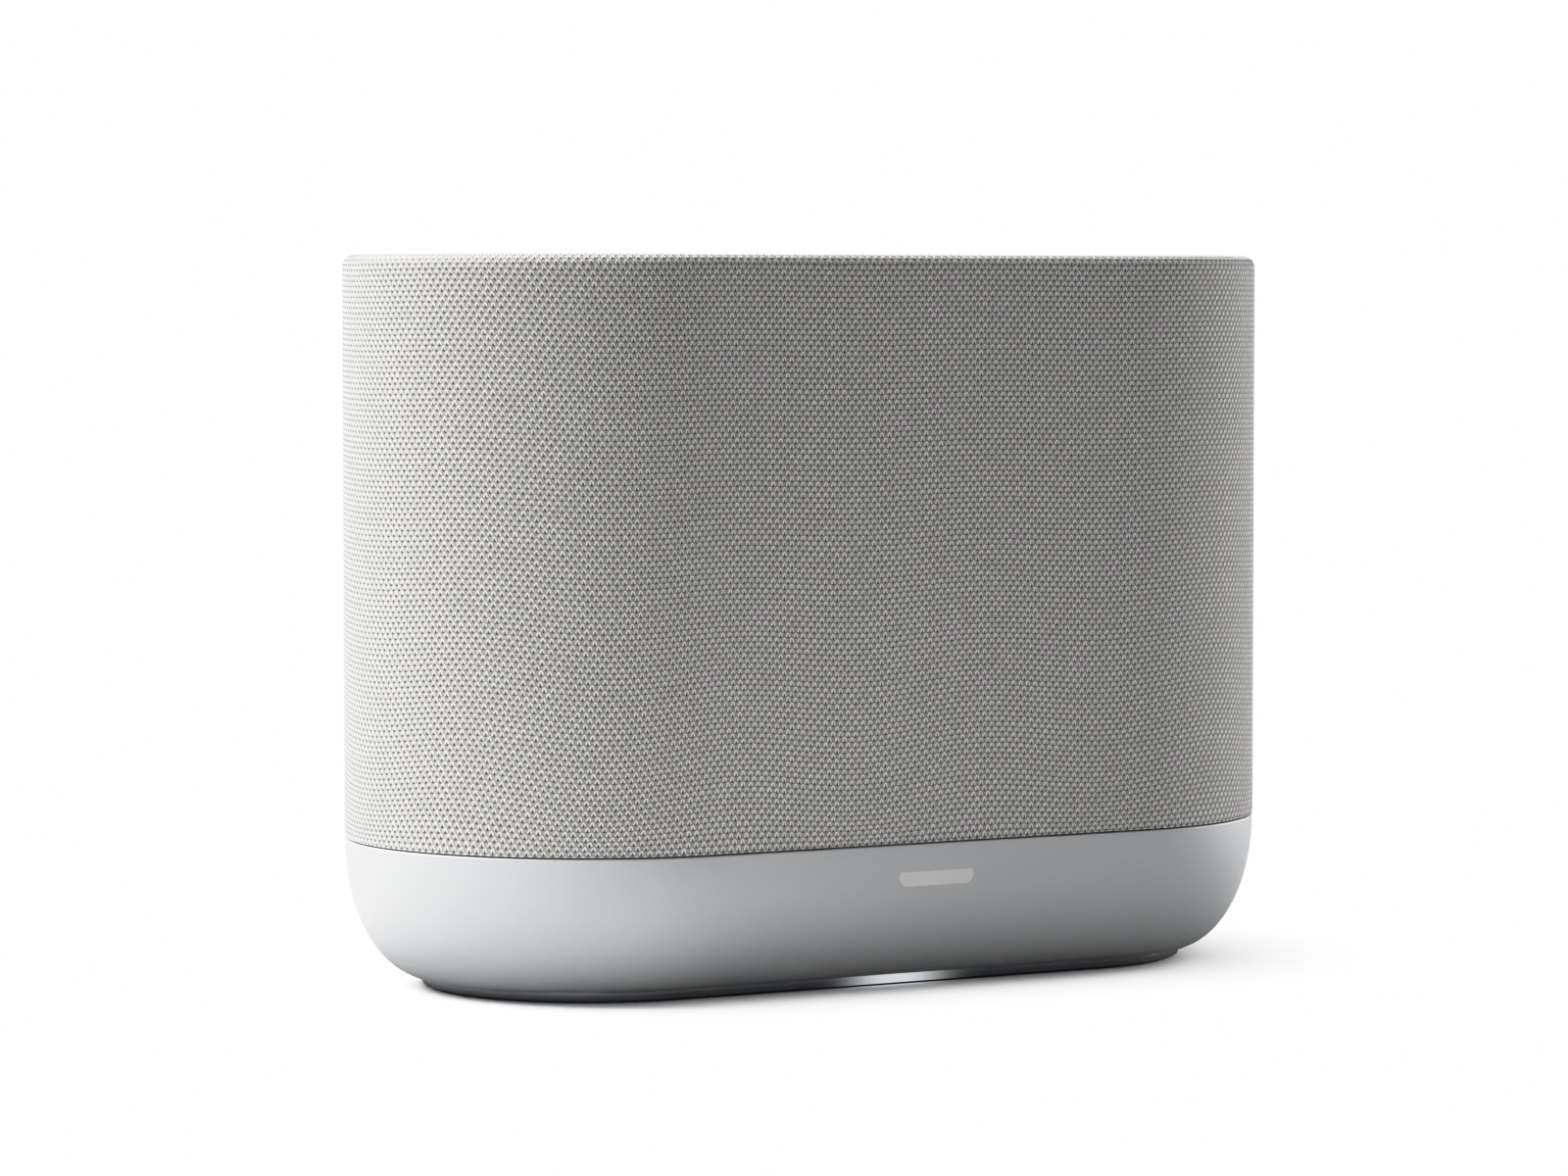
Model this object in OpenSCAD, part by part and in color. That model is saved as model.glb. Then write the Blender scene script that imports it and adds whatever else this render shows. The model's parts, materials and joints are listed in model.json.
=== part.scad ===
// Smart speaker: a wide cloth-covered cabinet with round ends, on a moulded bowl and a lit plinth.
// Millimetres, +Z up, the front faces -Y, and the origin is under the middle of the foot.

/* [Speaker] */
// Overall width
speaker_w = 300; // [296:1:310]
// Overall depth, which is also the diameter of the round ends
speaker_d = 149; // [148:1:152]
// Overall height
speaker_h = 219; // [219:1:226]

/* [Base] */
// Height of the seam between the bowl and the cloth
seam_z = 45; // [45:1:47]
// How far the bowl curves in from the seam down to its foot
bowl_inset = 24; // [22:0.5:24]
// Height over which the bowl curves
bowl_drop = 41; // [40:0.5:41]
// Wall of the bowl
bowl_wall = 2.5; // [2:0.1:3]
// Inset of the plinth from the cloth all round
plinth_inset = 23; // [22.5:0.1:24]
// Height of the top of the plinth
plinth_top = 4.1; // [3.8:0.1:4.5]
// Thickness of the rubber foot
foot_t = 0.8; // [0.5:0.1:1]

/* [Cover] */
// Thickness of the knitted cloth
cloth_t = 1.2; // [0.8:0.1:1.2]
// Radius of the top edge of the cloth
cloth_roll = 3.5; // [3:0.1:4]
// Wall of the slotted frame under the cloth
grille_t = 1.5; // [1.2:0.1:1.5]
// Width of one grille slot
slot_w = 7; // [4:0.5:8]
// Slots along each straight side
slots_straight = 12; // [8:1:14]
// Slots round each end
slots_round = 18; // [10:1:20]

/* [Drivers] */
// Distance from the middle to each woofer's axis
woofer_x = 58; // [56:0.5:59]
// Height of the woofers' axes above the seam
woofer_up = 63; // [62:0.5:64]
// Woofer travel each way
woofer_throw = 4; // [2:0.5:4]
// Distance from the middle to each tweeter's axis
tweeter_x = 90; // [88:0.5:92]
// Height of the tweeters' axes above the seam
tweeter_up = 137; // [136:0.5:138]
// Height of the passive radiator's axis above the seam
radiator_up = 75; // [70:1:85]

/* [Keys] */
// Radius of a top key
key_r = 9; // [7:0.5:10]
// Distance between the top keys
key_pitch = 30; // [28:1:34]
// Distance that a top key stands above the panel
key_proud = 0.6; // [0.4:0.1:0.8]
// Play between a key and its hole
key_play = 0.3; // [0.2:0.05:0.4]

/* [Hidden] */
$fn = 96;

far = 400;
eps = 0.01;
end_r = speaker_d / 2;
reach = speaker_w / 2 - end_r;

// Heights
bowl_top = seam_z - 0.2;
gasket_top = seam_z + 0.4;
cabinet_top = speaker_h - 12;
tray_floor = cabinet_top + 2.6;
panel_top = speaker_h - 1.2;
panel_under = panel_top - 2.4;
floor_top = plinth_top + 2.4;

// Radii, measured outwards from the line that joins the centres of the two round ends
cloth_in = end_r - cloth_t;
grille_out = cloth_in - 0.1;
cabinet_out = end_r - 3.6;
cabinet_wall = 3;
cloth_lip = end_r - 7.3;
panel_r = end_r - 7.9;
plinth_r = end_r - plinth_inset;
ring_w = 6;
plate_r = plinth_r - ring_w - 0.2;
floor_open_r = plate_r - 5.8;
ledge_r = end_r - 8.5;

// Places along Y
baffle_front = -(end_r - 20.5);
baffle_t = 4;
baffle_gasket_t = 1;
flange_t = 5;
rear_wall_in = cabinet_out - cabinet_wall;
panel_back = end_r - 15.5;
panel_front = panel_back + 2.5;

// Baffle outline
baffle_half_w = 121;
baffle_lap = 7;
baffle_low = gasket_top + 0.6;
baffle_high = cabinet_top - 0.6;

woofer_z = seam_z + woofer_up;
tweeter_z = seam_z + tweeter_up;
radiator_z = seam_z + radiator_up;

key_y = -18;
key_flange = 1.5;
key_travel = 0.6;
switch_top = panel_under - 0.1 - 1.7 - key_travel - 0.1;

recess_half_w = 45;
recess_low = 12;
recess_high = 38;
recess_mid = (recess_low + recess_high) / 2;
recess_wall = 2;
inlet_x = -26;
jack_x = 8;
usb_x = 22;
pair_x = 36;

cloth_grey = [0.66, 0.65, 0.63];
bowl_grey = [0.55, 0.55, 0.56];
panel_grey = [0.5, 0.5, 0.51];
smoke = [0.16, 0.18, 0.21];
black = [0.06, 0.06, 0.07];
dark = [0.15, 0.15, 0.16];
steel = [0.7, 0.7, 0.72];
board_green = [0.1, 0.3, 0.18];
paper = [0.2, 0.2, 0.21];

// A flat shape with straight sides and round ends
module stadium(r) {
    square([2 * reach, 2 * r], center = true);
    for (side = [-1, 1])
        translate([side * reach, 0])
            circle(r);
}

module slab(r, low, high) {
    translate([0, 0, low])
        linear_extrude(high - low)
            stadium(r);
}

module band(r_out, r_in, low, high) {
    translate([0, 0, low])
        linear_extrude(high - low)
            difference() {
                stadium(r_out);
                stadium(r_in);
            }
}

// Carries a profile of radius and height round the stadium
module round_trip() {
    for (side = [-1, 1]) {
        translate([side * reach, 0, 0])
            rotate([0, 0, -90 * side])
                rotate_extrude(angle = 180)
                    children();
        rotate([0, 0, 90 - 90 * side])
            rotate([90, 0, 90])
                linear_extrude(2 * reach, center = true)
                    children();
    }
}

// Stands a part on the front baffle, its axis pointing forwards
module on_baffle(x, z) {
    translate([x, baffle_front, z])
        rotate([90, 0, 0])
            children();
}

module cuboid(low, high) {
    translate(low)
        cube(high - low);
}

function arc(centre, r, from, to, steps) = [
    for (i = [0:steps])
        let (a = from + (to - from) * i / steps)
            [centre[0] + r * cos(a), centre[1] + r * sin(a)]
];

// A wall whose top edge rolls over into a flat lip
function rolled_wall(r_out, t, roll, low, high, lip_r) = concat(
    [[r_out, low]],
    arc([r_out - roll, high - roll], roll, 0, 90, 6),
    [[lip_r, high], [lip_r, high - t]],
    arc([r_out - roll, high - roll], roll - t, 90, 0, 6),
    [[r_out - t, low]]
);

// The bowl's side is a quarter of an ellipse
bowl_start = seam_z - 1;
bowl_end = asin((bowl_start - plinth_top) / bowl_drop);
bowl_steps = 18;
function bowl_side(r, drop, from) = [
    for (i = [from:bowl_steps])
        let (t = bowl_end * i / bowl_steps)
            [r - bowl_inset * (1 - cos(t)), bowl_start - drop * sin(t)]
];
function backwards(points) = [for (i = [len(points) - 1:-1:0]) points[i]];

module fabric_sleeve() {
    color(cloth_grey)
        round_trip()
            polygon(rolled_wall(end_r, cloth_t, cloth_roll, seam_z + 0.3, speaker_h, cloth_lip));
}

module grille_slot() {
    slot_gap = 12;
    slot_bands = 2;
    low = gasket_top + slot_gap;
    tall = (speaker_h - 14 - low - slot_gap * (slot_bands - 1)) / slot_bands;
    for (i = [0:slot_bands - 1])
        translate([-slot_w / 2, end_r - 6, low + i * (tall + slot_gap)])
            cube([slot_w, 8, tall]);
}

module grille_frame() {
    color(black)
        difference() {
            round_trip()
                polygon(rolled_wall(grille_out, grille_t, cloth_roll - cloth_t - 0.1, gasket_top,
                                    speaker_h - cloth_t - 0.1, cloth_lip + 0.8));
            for (side = [0, 180])
                rotate([0, 0, side]) {
                    for (i = [0:slots_straight - 1])
                        translate([2 * reach * ((i + 0.5) / slots_straight - 0.5), 0, 0])
                            grille_slot();
                    for (i = [0:slots_round - 1])
                        translate([reach, 0, 0])
                            rotate([0, 0, -180 * (i + 0.5) / slots_round])
                                grille_slot();
                }
        }
}

module seam_gasket() {
    color(black)
        band(end_r - 1.4, ledge_r + 0.3, bowl_top, gasket_top);
}

module key_places() {
    for (i = [-1.5:1.5])
        translate([i * key_pitch, key_y, 0])
            children();
}

microphone_x = 22;
microphone_y = -50;

module top_panel() {
    tray_wall = 2.4;
    color(panel_grey)
        difference() {
            slab(panel_r, tray_floor, panel_top);
            slab(panel_r - tray_wall, tray_floor - eps, panel_under);
            key_places()
                cylinder(r = key_r + key_play, h = far);
            for (side = [-1, 1])
                translate([side * microphone_x, microphone_y, 0])
                    cylinder(r = 0.7, h = far);
        }
}

module top_frame() {
    color(black) {
        slab(panel_r + 1, cabinet_top, tray_floor);
        for (x = [-1, 1])
            for (y = [-13, 13])
                translate([x * 2 * key_pitch, key_y + y, tray_floor])
                    cylinder(r = 2.5, h = 0.6);
    }
}

module key() {
    color(panel_grey) {
        translate([0, 0, panel_under - eps - 0.1])
            cylinder(r = key_r, h = 2.4 + 0.1 + eps + key_proud);
        translate([0, 0, panel_under - 1.8])
            cylinder(r = key_r + key_flange, h = 1.7);
    }
}

module key_at(place) {
    translate([(place - 1.5) * key_pitch, key_y, 0])
        key();
}

module volume_down_key() key_at(0);
module play_key() key_at(1);
module volume_up_key() key_at(2);
module microphone_key() key_at(3);

module key_board() {
    board_low = tray_floor + 0.6;
    board_t = 1.4;
    color(board_green) {
        translate([-66, key_y - 16, board_low])
            cube([132, 32, board_t]);
        key_places() {
            translate([-3, -3, board_low + board_t])
                cube([6, 6, switch_top - 0.5 - board_low - board_t]);
            translate([0, 0, switch_top - 0.5 - eps])
                cylinder(r = 1.7, h = 0.5 + eps);
        }
    }
}

module microphone_board() {
    board_low = panel_under - 3;
    color(board_green) {
        translate([-30, microphone_y - 4, board_low])
            cube([60, 8, 1.2]);
        for (side = [-1, 1])
            translate([side * microphone_x - 2, microphone_y - 1.5, board_low + 1.2])
                cube([4, 3, 1.1]);
    }
}

badge_z = seam_z - 10;
badge_y = -(end_r - 1.2);

// A plain pill, long side level, standing on the front
module pill(w, h, from_y, to_y) {
    translate([0, from_y, badge_z])
        rotate([90, 0, 0])
            linear_extrude(from_y - to_y) {
                square([w - h, h], center = true);
                for (side = [-1, 1])
                    translate([side * (w - h) / 2, 0])
                        circle(h / 2);
            }
}

module badge() {
    color(steel)
        pill(26, 5.6, badge_y, badge_y - 0.8);
}

// The screws that hold the bottom plate sit on the band where it laps the bowl's floor
screw_r = 1.5;
module plate_screw_places() {
    for (side = [-1, 1]) {
        translate([side * (reach + plate_r - 2.9), 0, 0])
            children();
        for (front = [-1, 1])
            translate([side * 50, front * (plate_r - 2.9), 0])
                children();
    }
}

guide_half_w = 22;
guide_back = -(plinth_r - 6);
guide_front = -(plinth_r - 1.5);
light_board_low = floor_top + 3.5;
light_board_half_w = 30;

module base_shell() {
    bowl_outline = concat(
        [[0, bowl_top], [end_r - 0.4, bowl_top], [end_r, bowl_top - 0.4]],
        bowl_side(end_r, bowl_drop, 0),
        [[0, plinth_top]]
    );
    ring_profile = concat(
        [[ledge_r, bowl_top], [end_r - 0.4, bowl_top], [end_r, bowl_top - 0.4]],
        bowl_side(end_r, bowl_drop, 0),
        [[floor_open_r, plinth_top], [floor_open_r, floor_top]],
        backwards(bowl_side(end_r - bowl_wall, bowl_drop - bowl_wall, 1)),
        [[end_r - bowl_wall, bowl_top - 2], [ledge_r, bowl_top - 2]]
    );
    boss_h = 6;
    color(bowl_grey)
        difference() {
            union() {
                round_trip()
                    polygon(ring_profile);
                rotate([90, 0, 90])
                    linear_extrude(2 * (recess_half_w + recess_wall), center = true)
                        intersection() {
                            polygon(bowl_outline);
                            translate([panel_back - 1, recess_low - recess_wall])
                                square([far, recess_high - recess_low + 2 * recess_wall]);
                        }
                plate_screw_places()
                    translate([0, 0, plinth_top])
                        cylinder(r = 3.6, h = boss_h + floor_top - plinth_top);
                for (side = [-1, 1])
                    translate([side * (light_board_half_w - 4), -(plinth_r - 9), floor_top - eps])
                        cylinder(r = 2, h = light_board_low - floor_top + eps);
            }
            cuboid([-recess_half_w - 0.1, panel_back - 5, recess_low - 0.1],
                   [recess_half_w + 0.1, far, recess_high + 0.1]);
            plate_screw_places()
                cylinder(r = screw_r + 0.02, h = floor_top + boss_h - 1);
            cuboid([-guide_half_w - 0.3, guide_front - 0.3, 0],
                   [guide_half_w + 0.3, guide_back + 0.3, floor_top + 1]);
            pill(26.2, 5.8, badge_y + 0.02, -far);
        }
}

module light_ring() {
    color(smoke)
        band(plinth_r, plinth_r - ring_w, foot_t, plinth_top);
}

module light_guide() {
    color("white")
        cuboid([-guide_half_w, guide_front, plinth_top], [guide_half_w, guide_back, floor_top + 2]);
}

module light_board() {
    led_count = 5;
    led_w = 3;
    led_pitch = 8.5;
    color(board_green) {
        cuboid([-light_board_half_w, guide_front, light_board_low],
               [light_board_half_w, -(plinth_r - 12), light_board_low + 1.2]);
        for (i = [0:led_count - 1])
            translate([(i - (led_count - 1) / 2) * led_pitch - led_w / 2, guide_front + 0.7,
                       light_board_low - 1.2])
                cube([led_w, led_w, 1.2 + eps]);
    }
}

module foot_pad() {
    color(black)
        slab(plinth_r - 2, 0, foot_t);
}

post_r = 3;
board_low = 12;
module board_posts(centre_x, half_w, half_d, low, high, r) {
    for (x = [-1, 1])
        for (y = [-1, 1])
            translate([centre_x + x * (half_w - 5), y * (half_d - 5), low])
                cylinder(r = r, h = high - low);
}

power_board_x = -59;
power_board_half = [49, 27];
main_board_x = 58;
main_board_half = [46, 27];

module bottom_plate() {
    head_r = 3;
    color(dark)
        difference() {
            union() {
                slab(plate_r, foot_t, plinth_top);
                board_posts(power_board_x, power_board_half[0], power_board_half[1],
                            plinth_top - eps, board_low, post_r);
                board_posts(main_board_x, main_board_half[0], main_board_half[1],
                            plinth_top - eps, board_low, post_r);
            }
            plate_screw_places() {
                cylinder(r = screw_r + 0.2, h = far);
                cylinder(r = head_r + 0.2, h = foot_t + 1.8);
            }
        }
}

module housing_screws() {
    color(steel)
        plate_screw_places() {
            translate([0, 0, foot_t + 1.8])
                cylinder(r = screw_r, h = 8);
            translate([0, 0, foot_t + 0.2])
                cylinder(r = 3, h = 1.6);
        }
}

inlet_half_w = 7.9;
inlet_r = 4.3;
inlet_body = [12, 8];
inlet_back = panel_front - 18;

// The round-ended opening of the mains inlet, as a flat shape that faces backwards
module inlet_mouth(grow) {
    for (side = [-1, 1])
        translate([side * (inlet_half_w - inlet_r), 0])
            circle(inlet_r + grow);
    square([2 * (inlet_half_w - inlet_r), 2 * (inlet_r + grow)], center = true);
}

// Stands a flat shape at the recess panel and draws it out from one depth to another
module out_of_panel(x, from_y, to_y) {
    translate([x, to_y, recess_mid])
        rotate([90, 0, 0])
            linear_extrude(to_y - from_y)
                children();
}

module connector_panel() {
    color(black)
        difference() {
            cuboid([-recess_half_w, panel_back, recess_low], [recess_half_w, panel_front, recess_high]);
            out_of_panel(inlet_x, panel_back - 1, panel_front + 1)
                square([2 * inlet_body[0] + 0.2, 2 * inlet_body[1] + 0.2], center = true);
            out_of_panel(jack_x, panel_back - 1, panel_front + 1)
                circle(3.1);
            out_of_panel(usb_x, panel_back - 1, panel_front + 1)
                square([9.4, 3.6], center = true);
            out_of_panel(pair_x, panel_back - 1, panel_front + 1)
                circle(3.3);
        }
}

module power_inlet() {
    pin_r = 1.2;
    pin_out = inlet_half_w - inlet_r + 0.7;
    mouth_back = inlet_back + 3;
    color(dark) {
        difference() {
            union() {
                out_of_panel(inlet_x, inlet_back, panel_front)
                    square(2 * inlet_body, center = true);
                out_of_panel(inlet_x, panel_front, panel_front + 0.8)
                    square(2 * inlet_body + [3, 2], center = true);
            }
            out_of_panel(inlet_x, mouth_back, panel_front + 2)
                inlet_mouth(0);
        }
        for (side = [-1, 1])
            out_of_panel(inlet_x + side * pin_out, mouth_back - eps, panel_front - 4)
                circle(pin_r);
    }
}

module aux_jack() {
    jack_bore = 1.78;
    color(dark)
        difference() {
            union() {
                out_of_panel(jack_x, panel_front - 14, panel_back)
                    square([8, 8], center = true);
                out_of_panel(jack_x, panel_back - eps, panel_front + 0.8)
                    circle(3);
            }
            out_of_panel(jack_x, panel_front - 12, panel_front + 1)
                circle(jack_bore);
        }
}

module usb_port() {
    color(steel) {
        difference() {
            out_of_panel(usb_x, panel_front - 9, panel_front + 0.2)
                square([9.2, 3.4], center = true);
            out_of_panel(usb_x, panel_front - 8, panel_front + 1)
                square([8.4, 2.6], center = true);
        }
        out_of_panel(usb_x, panel_front - 8 - eps, panel_front - 0.6)
            square([6.7, 0.7], center = true);
    }
}

module pair_button() {
    color(panel_grey) {
        out_of_panel(pair_x, panel_back - 0.15, panel_front + 1)
            circle(3);
        out_of_panel(pair_x, panel_back - 1.4, panel_back - 0.1)
            circle(4);
    }
}

module cabinet_shell() {
    tub_front = baffle_front + baffle_t + baffle_gasket_t;
    color(dark)
        difference() {
            slab(cabinet_out, gasket_top, cabinet_top);
            cuboid([-far, -far, 0], [far, tub_front, far]);
            intersection() {
                slab(rear_wall_in, gasket_top + cabinet_wall, cabinet_top - cabinet_wall);
                cuboid([-far, tub_front + flange_t, 0], [far, far, far]);
            }
            cuboid([baffle_lap - baffle_half_w, -far, baffle_low + baffle_lap],
                   [baffle_half_w - baffle_lap, tub_front + flange_t + 1, baffle_high - baffle_lap]);
            translate([0, 0, radiator_z])
                rotate([-90, 0, 0])
                    cylinder(r = 40, h = far);
            baffle_screw_places()
                cylinder(r = 1.4, h = 24, center = true);
        }
}

module baffle_screw_places() {
    for (side = [-1, 1]) {
        for (z = [baffle_low + 20, (baffle_low + baffle_high) / 2, baffle_high - 20])
            on_baffle(side * (baffle_half_w - 3.5), z)
                children();
        for (z = [baffle_low + 3.5, baffle_high - 3.5])
            on_baffle(side * 30, z)
                children();
    }
}

module woofer_screw_places() {
    for (side = [-1, 1])
        on_baffle(side * woofer_x, woofer_z)
            for (a = [45:90:315])
                rotate([0, 0, a])
                    translate([52.4, 0, 0])
                        children();
}

module front_baffle() {
    color(dark)
        difference() {
            cuboid([-baffle_half_w, baffle_front, baffle_low],
                   [baffle_half_w, baffle_front + baffle_t, baffle_high]);
            for (side = [-1, 1]) {
                on_baffle(side * woofer_x, woofer_z)
                    cylinder(r = 50, h = far, center = true);
                on_baffle(side * tweeter_x, tweeter_z)
                    cylinder(r = 16.8, h = far, center = true);
            }
            baffle_screw_places()
                cylinder(r = 1.8, h = far, center = true);
            woofer_screw_places()
                cylinder(r = 1.4, h = far, center = true);
        }
}

module baffle_gasket() {
    gasket_low = baffle_front + baffle_t;
    color(black)
        difference() {
            cuboid([-baffle_half_w, gasket_low, baffle_low],
                   [baffle_half_w, gasket_low + baffle_gasket_t, baffle_high]);
            cuboid([baffle_lap - baffle_half_w, gasket_low - 1, baffle_low + baffle_lap],
                   [baffle_half_w - baffle_lap, gasket_low + 2, baffle_high - baffle_lap]);
            baffle_screw_places()
                cylinder(r = 1.8, h = 12, center = true);
        }
}

// A pan-head screw whose head starts at z = 0
module pan_screw(r, head_r, deep) {
    translate([0, 0, -deep])
        cylinder(r = r, h = deep);
    cylinder(r = head_r, h = 1.8);
}

module baffle_screws() {
    color(steel)
        baffle_screw_places()
            pan_screw(1.38, 2.8, 9);
}

module driver_screws() {
    color(steel)
        woofer_screw_places()
            translate([0, 0, woofer_flange_t])
                pan_screw(1.38, 2.4, woofer_flange_t + 5);
}

// Woofer, drawn with its axis along Z and the baffle's front at z = 0
woofer_flange_t = 3;
woofer_neck = 13.2;
woofer_rim = 39.5;
basket_floor = -32.5;

module woofer_basket() {
    windows = 6;
    color(dark)
        difference() {
            union() {
                difference() {
                    rotate_extrude()
                        polygon([
                            [55, 0], [55, woofer_flange_t], [50, woofer_flange_t], [50, 1.6], [45.5, 1.6],
                            [45.5, -1.5], [25, basket_floor + 2.5], [14.6, basket_floor + 2.5],
                            [14.6, basket_floor], [28, basket_floor], [49.4, -2], [49.4, 0]
                        ]);
                    for (i = [0:windows - 1])
                        rotate([0, 0, 360 * i / windows])
                            translate([20, -9, basket_floor + 5.5])
                                cube([40, 18, 21]);
                }
                rotate_extrude()
                    translate([27, -23.4])
                        square([3.5, 1.4]);
            }
            for (a = [45:90:315])
                rotate([0, 0, a])
                    translate([52.4, 0, 0])
                        cylinder(r = 1.6, h = 20, center = true);
        }
}

module woofer_magnet() {
    color(steel)
        rotate_extrude()
            polygon([
                [0, basket_floor - 21.5], [31, basket_floor - 21.5], [31, basket_floor - 17.5],
                [34, basket_floor - 17.5], [34, basket_floor - 3.5], [30, basket_floor - 3.5],
                [30, basket_floor], [14.4, basket_floor], [14.4, basket_floor - 3.5],
                [16, basket_floor - 3.5], [16, basket_floor - 17.5], [11.6, basket_floor - 17.5],
                [11.6, basket_floor], [0, basket_floor]
            ]);
}

// A half round roll between two radii, which opens towards the side that faces down
module roll(r_in, r_out, t, z) {
    mid = (r_in + r_out) / 2;
    half = (r_out - r_in) / 2;
    translate([mid, z])
        intersection() {
            difference() {
                circle(half);
                circle(half - t);
            }
            translate([-half - 1, 0])
                square([2 * half + 2, half + 1]);
        }
}

module woofer_surround() {
    color(black)
        rotate_extrude() {
            roll(woofer_rim, 46.7, 0.8, 1.6);
            translate([woofer_rim, 0.2])
                square([0.8, 1.4 + eps]);
            translate([46, 1.6])
                square([3.8, 0.7]);
        }
}

module woofer_spider() {
    waves = 4;
    steps = 24;
    r_in = woofer_neck;
    r_out = 29;
    wave_r = 27;
    t = 0.5;
    edge = -22;
    line = [
        for (i = [0:steps])
            let (r = r_in + (wave_r - r_in) * i / steps)
                [r, edge + 0.7 * (1 - cos(360 * waves * i / steps))]
    ];
    color([0.75, 0.6, 0.35])
        rotate_extrude()
            polygon(concat(line, [[r_out, edge], [r_out, edge + t]],
                           [for (p = backwards(line)) [p[0], p[1] + t]]));
}

module woofer_cone() {
    neck_z = -16.4;
    rim_z = 0.2;
    t = 1;
    color(paper)
        rotate_extrude()
            polygon([
                [woofer_neck, neck_z], [woofer_rim, rim_z],
                [woofer_rim, rim_z + t], [woofer_neck, neck_z + t]
            ]);
}

// A thin dome with a given base radius and rise, standing at z = 0
module dome(r, rise, t) {
    ball = (r * r + rise * rise) / (2 * rise);
    rotate_extrude()
        intersection() {
            translate([0, rise - ball])
                difference() {
                    circle(ball);
                    circle(ball - t);
                }
            square([r, rise]);
        }
}

module woofer_dust_cap() {
    color(black)
        translate([0, 0, -14.7])
            dome(14.2, 5, 0.6);
}

module woofer_voice_coil() {
    former_t = 0.6;
    former_low = -44;
    former_top = -15.4;
    winding_mid = -36;
    winding_h = 2 * woofer_throw + 2;
    color([0.72, 0.45, 0.2])
        rotate_extrude() {
            translate([woofer_neck - former_t, former_low])
                square([former_t, former_top - former_low]);
            translate([woofer_neck - eps, winding_mid - winding_h / 2])
                square([former_t, winding_h]);
        }
}

// Tweeter, drawn the same way
module tweeter_faceplate() {
    color(dark)
        rotate_extrude()
            polygon([[19, 0], [19, 2.4], [15.5, 2.4], [10.6, -0.6], [10.6, -6], [16.4, -6], [16.4, 0]]);
}

module tweeter_magnet() {
    color(steel)
        rotate_extrude()
            polygon([
                [0, -18], [15, -18], [15, -6], [10.6, -6],
                [10.6, -9], [8.2, -9], [8.2, -6.2], [0, -6.2]
            ]);
}

tweeter_dome_r = 9.6;
module tweeter_surround() {
    color(black)
        rotate_extrude()
            roll(tweeter_dome_r, 10.6, 0.25, -1.2);
}

module tweeter_dome() {
    color(paper) {
        translate([0, 0, -1.2])
            dome(tweeter_dome_r, 4, 0.5);
        rotate_extrude()
            translate([tweeter_dome_r - 0.5, -5])
                square([0.5, 3.8 + eps]);
    }
}

module at_radiator() {
    translate([0, rear_wall_in, radiator_z])
        rotate([-90, 0, 0])
            children();
}

radiator_frame_in = 39;
radiator_plate_r = 30;

module radiator_frame() {
    color(dark)
        at_radiator()
            rotate_extrude()
                translate([radiator_frame_in, -7])
                    square([9, 7]);
}

module radiator_surround() {
    color(black)
        at_radiator()
            rotate_extrude()
                mirror([0, 1])
                    roll(radiator_plate_r, radiator_frame_in, 1, 4);
}

module radiator_plate() {
    color(steel)
        at_radiator()
            translate([0, 0, -6.2])
                cylinder(r = radiator_plate_r, h = 4);
}

module board(centre_x, half) {
    difference() {
        cuboid([centre_x - half[0], -half[1], board_low],
               [centre_x + half[0], half[1], board_low + board_t]);
        board_posts(centre_x, half[0], half[1], 0, far, 1.5);
    }
}

board_t = 1.6;
module main_board() {
    chips = [[-18, 8, 14], [26, -12, 10], [26, 10, 8]];
    chip_t = 1.2;
    color(board_green) {
        board(main_board_x, main_board_half);
        for (chip = chips)
            translate([main_board_x + chip[0], chip[1], board_low + board_t + chip_t / 2])
                cube([chip[2], chip[2], chip_t], center = true);
    }
}

module heatsink() {
    fins = 7;
    fin_w = 1.6;
    fin_pitch = 4;
    sink_low = board_low + board_t + 1.2;
    color(steel)
        translate([main_board_x - 32, -6, sink_low]) {
            cube([28, 28, 3]);
            for (i = [0:fins - 1])
                translate([i * fin_pitch, 0, 3 - eps])
                    cube([fin_w, 28, 14]);
        }
}

module power_board() {
    color([0.55, 0.42, 0.2])
        board(power_board_x, power_board_half);
}

module transformer() {
    low = board_low + board_t;
    color([0.8, 0.7, 0.3])
        translate([power_board_x - 6, -4, low])
            cube([18, 20, 20]);
    color(black)
        translate([power_board_x - 9, -8, low])
            cube([24, 28, 4]);
}

module capacitors() {
    color(dark)
        for (place = [[-30, 8, 9, 24], [-30, -12, 7, 20], [32, -10, 6, 18], [32, 8, 6, 18]])
            translate([power_board_x + place[0], place[1], board_low + board_t])
                cylinder(r = place[2], h = place[3]);
}

module antennas() {
    color([0.8, 0.55, 0.2])
        for (side = [-1, 1])
            translate([side * (reach + end_r - 20) - 0.5, -14, 20])
                cube([1, 28, 16]);
}

fabric_sleeve();
grille_frame();
seam_gasket();
top_panel();
top_frame();
base_shell();
badge();
light_ring();
light_guide();
light_board();
foot_pad();
bottom_plate();
housing_screws();
connector_panel();
power_inlet();
aux_jack();
usb_port();
pair_button();
volume_down_key();
play_key();
volume_up_key();
microphone_key();
key_board();
microphone_board();
cabinet_shell();
front_baffle();
baffle_gasket();
baffle_screws();
driver_screws();
on_baffle(-woofer_x, woofer_z) woofer_basket();  // woofer_left_basket
on_baffle(-woofer_x, woofer_z) woofer_magnet();  // woofer_left_magnet
on_baffle(-woofer_x, woofer_z) woofer_surround();  // woofer_left_surround
on_baffle(-woofer_x, woofer_z) woofer_spider();  // woofer_left_spider
on_baffle(-woofer_x, woofer_z) woofer_cone();  // woofer_left_cone
on_baffle(-woofer_x, woofer_z) woofer_dust_cap();  // woofer_left_dust_cap
on_baffle(-woofer_x, woofer_z) woofer_voice_coil();  // woofer_left_voice_coil
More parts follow.
